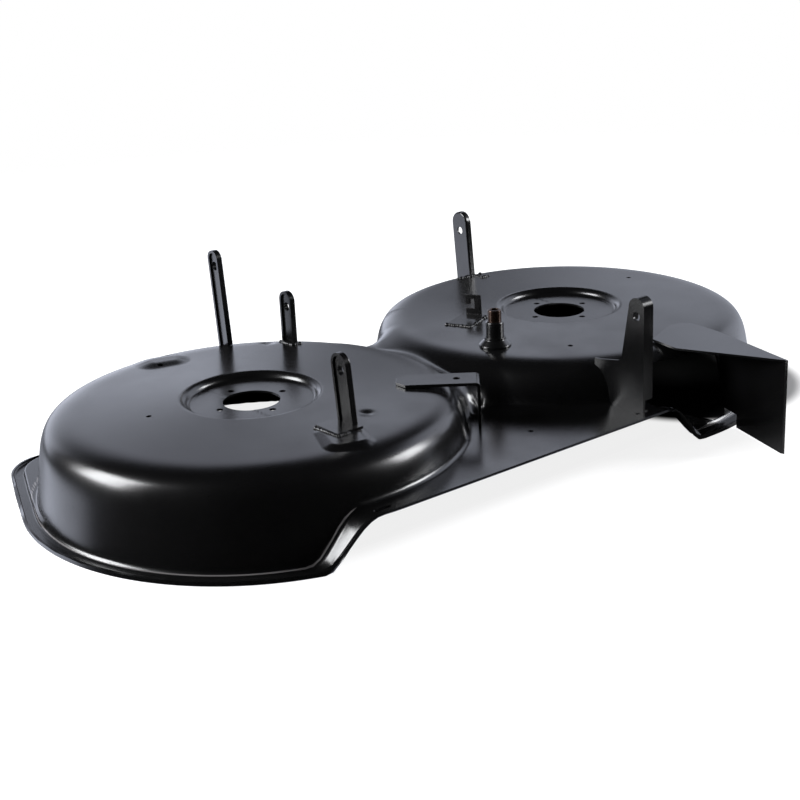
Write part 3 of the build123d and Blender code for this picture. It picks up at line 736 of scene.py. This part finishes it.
def bead_tree():
    """Drops of weld metal along a path, as a node group with named inputs."""
    group = bpy.data.node_groups.new("weld_bead", "GeometryNodeTree")
    group.interface.new_socket("Path", in_out="INPUT", socket_type="NodeSocketGeometry")
    for name, value in BEAD_INPUTS.items():
        kind = "NodeSocketInt" if isinstance(value, int) else "NodeSocketFloat"
        group.interface.new_socket(name, in_out="INPUT", socket_type=kind)
    group.interface.new_socket("Material", in_out="INPUT", socket_type="NodeSocketMaterial")
    group.interface.new_socket("Beads", in_out="OUTPUT", socket_type="NodeSocketGeometry")
    given, result = group.nodes.new("NodeGroupInput"), group.nodes.new("NodeGroupOutput")
    curve = group.nodes.new("GeometryNodeMeshToCurve")
    steps = group.nodes.new("GeometryNodeResampleCurve")
    steps.mode = "LENGTH"
    drop = group.nodes.new("GeometryNodeMeshIcoSphere")
    drop.inputs["Subdivisions"].default_value = 2
    placed = group.nodes.new("GeometryNodeInstanceOnPoints")
    chance = group.nodes.new("FunctionNodeRandomValue")
    chance.data_type = "FLOAT"
    smallest = math_node(group, "SUBTRACT", 1, given.outputs["Unevenness"])
    largest = math_node(group, "ADD", 1, given.outputs["Unevenness"])
    group.links.new(smallest, chance.inputs[2])
    group.links.new(largest, chance.inputs[3])
    wire(group, given, "Seed", chance, "Seed")
    wire(group, given, "Path", curve, "Mesh")
    wire(group, curve, "Curve", steps, "Curve")
    wire(group, given, "Spacing", steps, "Length")
    wire(group, given, "Radius", drop, "Radius")
    wire(group, steps, "Curve", placed, "Points")
    wire(group, drop, "Mesh", placed, "Instance")
    group.links.new(chance.outputs[1], placed.inputs["Scale"])
    smooth = group.nodes.new("GeometryNodeSetShadeSmooth")
    real = group.nodes.new("GeometryNodeRealizeInstances")
    coat = group.nodes.new("GeometryNodeSetMaterial")
    wire(group, placed, "Instances", real, "Geometry")
    wire(group, real, "Geometry", smooth, "Geometry")
    wire(group, smooth, "Geometry", coat, "Geometry")
    wire(group, given, "Material", coat, "Material")
    wire(group, coat, "Geometry", result, "Beads")
    return group


bead_points, bead_edges = [], []
for side, line in BEADS:
    line = np.array(line)
    lift = skin_height(-side * line[:, 0], line[:, 1], "left" if side < 0 else "right")
    first = len(bead_points)
    bead_points += [(side * axis_x + x, axis_y + y, z) for (x, y), z in zip(line, lift)]
    bead_edges += [(first + i, first + i + 1) for i in range(len(line) - 1)]
bead_mesh = bpy.data.meshes.new("weld_beads")
bead_mesh.from_pydata(bead_points, bead_edges, [])
beads = new_mesh_object("weld_beads", bead_mesh)
laid = beads.modifiers.new("beads", "NODES")
laid.node_group = bead_tree()
for socket in laid.node_group.interface.items_tree:
    if socket.in_out == "INPUT" and socket.name in BEAD_INPUTS:
        laid[socket.identifier] = BEAD_INPUTS[socket.name]
    elif socket.name == "Material":
        laid[socket.identifier] = paint
baked(beads)
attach(beads, "root")
print("weld beads", len(beads.data.polygons), "faces")

# %% [markdown]
# ## What the gloss sees
# Black gloss is drawn by what it mirrors. The world holds white panels that only reflections see: a
# sweep behind the deck, fields at its right, and two low edges of the table. Each is a window in
# azimuth, in degrees, and in height, with soft borders. Other rays meet a dim grey room, and the
# camera sees white.

# %% Hang the panels in the world
WHITE, ROOM_GREY, CAMERA_WHITE = (0.93, 0.98, 1.14), (0.08, 0.08, 0.084, 1), (1, 1, 1, 1)
PANEL_SOFT, FOOT_SOFT = radians(8), 0.05
PANELS = {"back sweep": ((57, 102), (-0.10, 0.10, 0.62), 1.65),
          "over the gap": ((44, 58), (0.33, 0.42, 0.56), 1.1),
          "back right": ((18, 47), (-2, 0.38, 0.54), 0.7),
          "right wing": ((-22, 18), (-2, 0.62, 0.74), 1.0),
          "left table": ((95, 140), (-2, -0.24, -0.12), 1.5),
          "back table": ((44, 95), (-2, -0.24, -0.12), 0.45)}


def window(tree, value, start, end, soft):
    """1 between two values and softly 0 outside them."""
    rising = ramp_node(tree, value, start - soft, start + soft)
    return math_node(tree, "MULTIPLY", rising, ramp_node(tree, value, end + soft, end - soft))


def panel(tree, azimuth, height, sides, heights, radiance):
    """A white panel between two sides, that starts at a foot and fades from full to none in height."""
    foot, full, none = heights
    across = window(tree, azimuth, radians(sides[0]), radians(sides[1]), PANEL_SOFT)
    lit = math_node(tree, "MULTIPLY", across, ramp_node(tree, height, none, full))
    lit = math_node(tree, "MULTIPLY", lit, ramp_node(tree, height, foot - FOOT_SOFT, foot + FOOT_SOFT))
    return math_node(tree, "MULTIPLY", lit, radiance)


def ray_kinds(tree):
    """Two values that are 1 on a ray from the camera, and 1 on a ray that gloss sends on."""
    path = tree.nodes.new("ShaderNodeLightPath").outputs
    mirrored = math_node(tree, "MAXIMUM", path["Is Glossy Ray"], path["Is Transmission Ray"])
    return path["Is Camera Ray"], mirrored


scene = bpy.context.scene
world = bpy.data.worlds.new("studio")
scene.world = world
world.use_nodes = True
tree = world.node_tree
tree.nodes.clear()
sky = tree.nodes.new("ShaderNodeBackground")
output = tree.nodes.new("ShaderNodeOutputWorld")
wire(tree, sky, "Background", output, "Surface")
place = tree.nodes.new("ShaderNodeTexCoord")
parts = tree.nodes.new("ShaderNodeSeparateXYZ")
wire(tree, place, "Generated", parts, "Vector")
azimuth = math_node(tree, "ARCTAN2", parts.outputs["Y"], parts.outputs["X"])
sweep = 0.0
for sides, heights, radiance in PANELS.values():
    lit = panel(tree, azimuth, parts.outputs["Z"], sides, heights, radiance)
    sweep = math_node(tree, "ADD", sweep, lit)
brightness = tree.nodes.new("ShaderNodeVectorMath")
brightness.operation = "SCALE"
brightness.inputs[0].default_value = WHITE
tree.links.new(sweep, brightness.inputs["Scale"])
from_camera, mirrored = ray_kinds(tree)
seen = mix_node(tree, mirrored, ROOM_GREY, brightness.outputs["Vector"])
seen = mix_node(tree, from_camera, seen, CAMERA_WHITE)
tree.links.new(seen, sky.inputs["Color"])
print("panels", list(PANELS))

# %% [markdown]
# ## The floor
# The floor is a matt white disc that fades out into the white world. Under the deck its colour is
# painted near black, as painted shade. It glows for the camera alone, so the page is white and the deck's
# shadow stays. Reflections pass through it, except under the deck and beside the mouth, where the real
# floor is in shade. Two spots of painted shade keep the glow out of the floor seen through the openings.

# %% Lay the floor
FLOOR_R, FLOOR_SIDES, FLOOR_GLOW = 2.4, 64, 0.85
FADE_FROM, FADE_TO = 0.45 * FLOOR_R, 0.95 * FLOOR_R
FLOOR_WHITE, PAINTED_FLOOR_SHADE = (0.86, 0.86, 0.86, 1), (0.03, 0.03, 0.03, 1)
MOUTH_SHADE_AT, MOUTH_SHADE_R, MOUTH_SHADE_CORE = (0.36, -0.24), 0.30, 0.8
UNDER_IN, UNDER_OUT = 0.24, 0.29
PAINTED_SHADE_SPOTS, DARK_CORE = [((0.130, -0.130), 1, 0.175), ((0.068, -0.172), -1, 0.026)], 0.85


def away_from(tree, place, at, start, end):
    """0 near a place on the floor and 1 away from it, rising between two distances."""
    span = tree.nodes.new("ShaderNodeVectorMath")
    span.operation = "DISTANCE"
    span.inputs[1].default_value = (*at, 0)
    wire(tree, place, "Object", span, 0)
    return ramp_node(tree, span.outputs["Value"], start, end)


def squared(tree, value):
    """A value times itself."""
    return math_node(tree, "MULTIPLY", value, value)


floor_bm = bmesh.new()
bmesh.ops.create_circle(floor_bm, cap_ends=True, segments=FLOOR_SIDES, radius=FLOOR_R)
floor_mesh = bpy.data.meshes.new("floor")
floor_bm.to_mesh(floor_mesh)
floor_bm.free()
floor = new_mesh_object("floor", floor_mesh)
floor_paint, tree, shader = new_material("floor_white")
tree.nodes.remove(shader)
output = tree.nodes["Material Output"]
matt = tree.nodes.new("ShaderNodeBsdfDiffuse")
glow = node_of(tree, "ShaderNodeEmission", Color=CAMERA_WHITE)
lit = tree.nodes.new("ShaderNodeAddShader")
clear = tree.nodes.new("ShaderNodeBsdfTransparent")
fade = tree.nodes.new("ShaderNodeMixShader")
place = tree.nodes.new("ShaderNodeTexCoord")
from_camera, mirrored = ray_kinds(tree)
spot = tree.nodes.new("ShaderNodeSeparateXYZ")
wire(tree, place, "Object", spot, "Vector")
outside = math_node(tree, "SUBTRACT", math_node(tree, "ABSOLUTE", spot.outputs["X"], 0), axis_x)
outside = math_node(tree, "MAXIMUM", outside, 0)
aside = math_node(tree, "SUBTRACT", spot.outputs["Y"], axis_y)
from_axes = math_node(tree, "ADD", squared(tree, outside), squared(tree, aside))
under = ramp_node(tree, from_axes, UNDER_OUT ** 2, UNDER_IN ** 2)
open_floor = math_node(tree, "SUBTRACT", 1, under)
unshaded = away_from(tree, place, MOUTH_SHADE_AT, MOUTH_SHADE_CORE * MOUTH_SHADE_R, MOUTH_SHADE_R)
clear_gloss = math_node(tree, "MULTIPLY", mirrored, math_node(tree, "MULTIPLY", open_floor, unshaded))
far_out = away_from(tree, place, (0, 0), FADE_FROM, FADE_TO)
tree.links.new(math_node(tree, "MAXIMUM", far_out, clear_gloss), fade.inputs["Fac"])
# Two spots take the camera glow away, so the floor seen through the mouth and the left slot shows as
# painted shade.
shine = FLOOR_GLOW
for (x, y), side, reach in PAINTED_SHADE_SPOTS:
    bright = away_from(tree, place, (side * axis_x + x, axis_y + y), DARK_CORE * reach, reach)
    shine = math_node(tree, "MULTIPLY", bright, shine)
# Under the deck the floor's matt colour is painted near black: painted shade for the deck's shadow.
tree.links.new(mix_node(tree, under, FLOOR_WHITE, PAINTED_FLOOR_SHADE), matt.inputs["Color"])
tree.links.new(math_node(tree, "MULTIPLY", shine, from_camera), glow.inputs["Strength"])
tree.links.new(matt.outputs["BSDF"], lit.inputs[0])
tree.links.new(glow.outputs["Emission"], lit.inputs[1])
tree.links.new(lit.outputs["Shader"], fade.inputs[1])
tree.links.new(clear.outputs["BSDF"], fade.inputs[2])
tree.links.new(fade.outputs["Shader"], output.inputs["Surface"])
floor_mesh.materials.append(floor_paint)
print("floor radius", FLOOR_R)

# %% [markdown]
# ## Soft boxes
# Two large square lamps stand at the sides, the left one a little behind the deck and the right one a
# little in front of it. Each entry gives azimuth and height in degrees, distance, size and radiance.
# The power follows from the size, so a larger box gives softer light at the same brightness.

# %% Light the deck
SOFT_BOXES = [("left_box", 150.5, 26, 4.3, (2.1, 2.1), 12.5),
              ("right_box", 326, 23, 4.0, (1.4, 1.4), 12.0)]
BOX_COLOUR, AIM = (0.97, 0.98, 1.0), Vector((0, axis_y, 0.08))
for name, azimuth, height, distance, size, radiance in SOFT_BOXES:
    lamp = bpy.data.lights.new(name, "AREA")
    lamp.shape, lamp.size, lamp.size_y = "RECTANGLE", *size
    lamp.energy = radiance * pi * size[0] * size[1]
    lamp.color = BOX_COLOUR
    box = bpy.data.objects.new(name, lamp)
    az, el = radians(azimuth), radians(height)
    box.location = AIM + distance * Vector((cos(az) * cos(el), sin(az) * cos(el), sin(el)))
    box.rotation_euler = (AIM - box.location).to_track_quat("-Z", "Y").to_euler()
    scene.collection.objects.link(box)
print("lamps", [entry[0] for entry in SOFT_BOXES])

# %% [markdown]
# ## Camera
# The view was recovered from the picture by fitting the ellipses of the spindle holes and the
# straps' places: a long lens, about twenty degrees above the deck, rolled by under three degrees.
# Its axes are written out as a matrix, so nothing has to be aimed by eye.

# %% Set the camera
CAMERA_AT = Vector((-1.2601, -1.5370, 0.7783))
CAMERA_AZIMUTH, CAMERA_DOWN, CAMERA_ROLL = radians(52.3558), radians(19.9129), radians(-2.7015)
LENS, SENSOR = 71.12, 36.0
camera_data = bpy.data.cameras.new("camera")
camera_data.lens, camera_data.sensor_width = LENS, SENSOR
camera = bpy.data.objects.new("camera", camera_data)
forward = Vector((cos(CAMERA_AZIMUTH) * cos(CAMERA_DOWN),
                  sin(CAMERA_AZIMUTH) * cos(CAMERA_DOWN), -sin(CAMERA_DOWN)))
level_x = Vector((sin(CAMERA_AZIMUTH), -cos(CAMERA_AZIMUTH), 0))
level_y = level_x.cross(forward)
camera_x = level_x * cos(CAMERA_ROLL) + level_y * sin(CAMERA_ROLL)
camera_y = level_y * cos(CAMERA_ROLL) - level_x * sin(CAMERA_ROLL)
turned = Matrix((camera_x, camera_y, -forward)).transposed().to_4x4()
camera.matrix_world = Matrix.Translation(CAMERA_AT) @ turned
scene.collection.objects.link(camera)
scene.camera = camera
scene.view_settings.view_transform = "Standard"
print("camera at", tuple(round(c, 3) for c in CAMERA_AT))
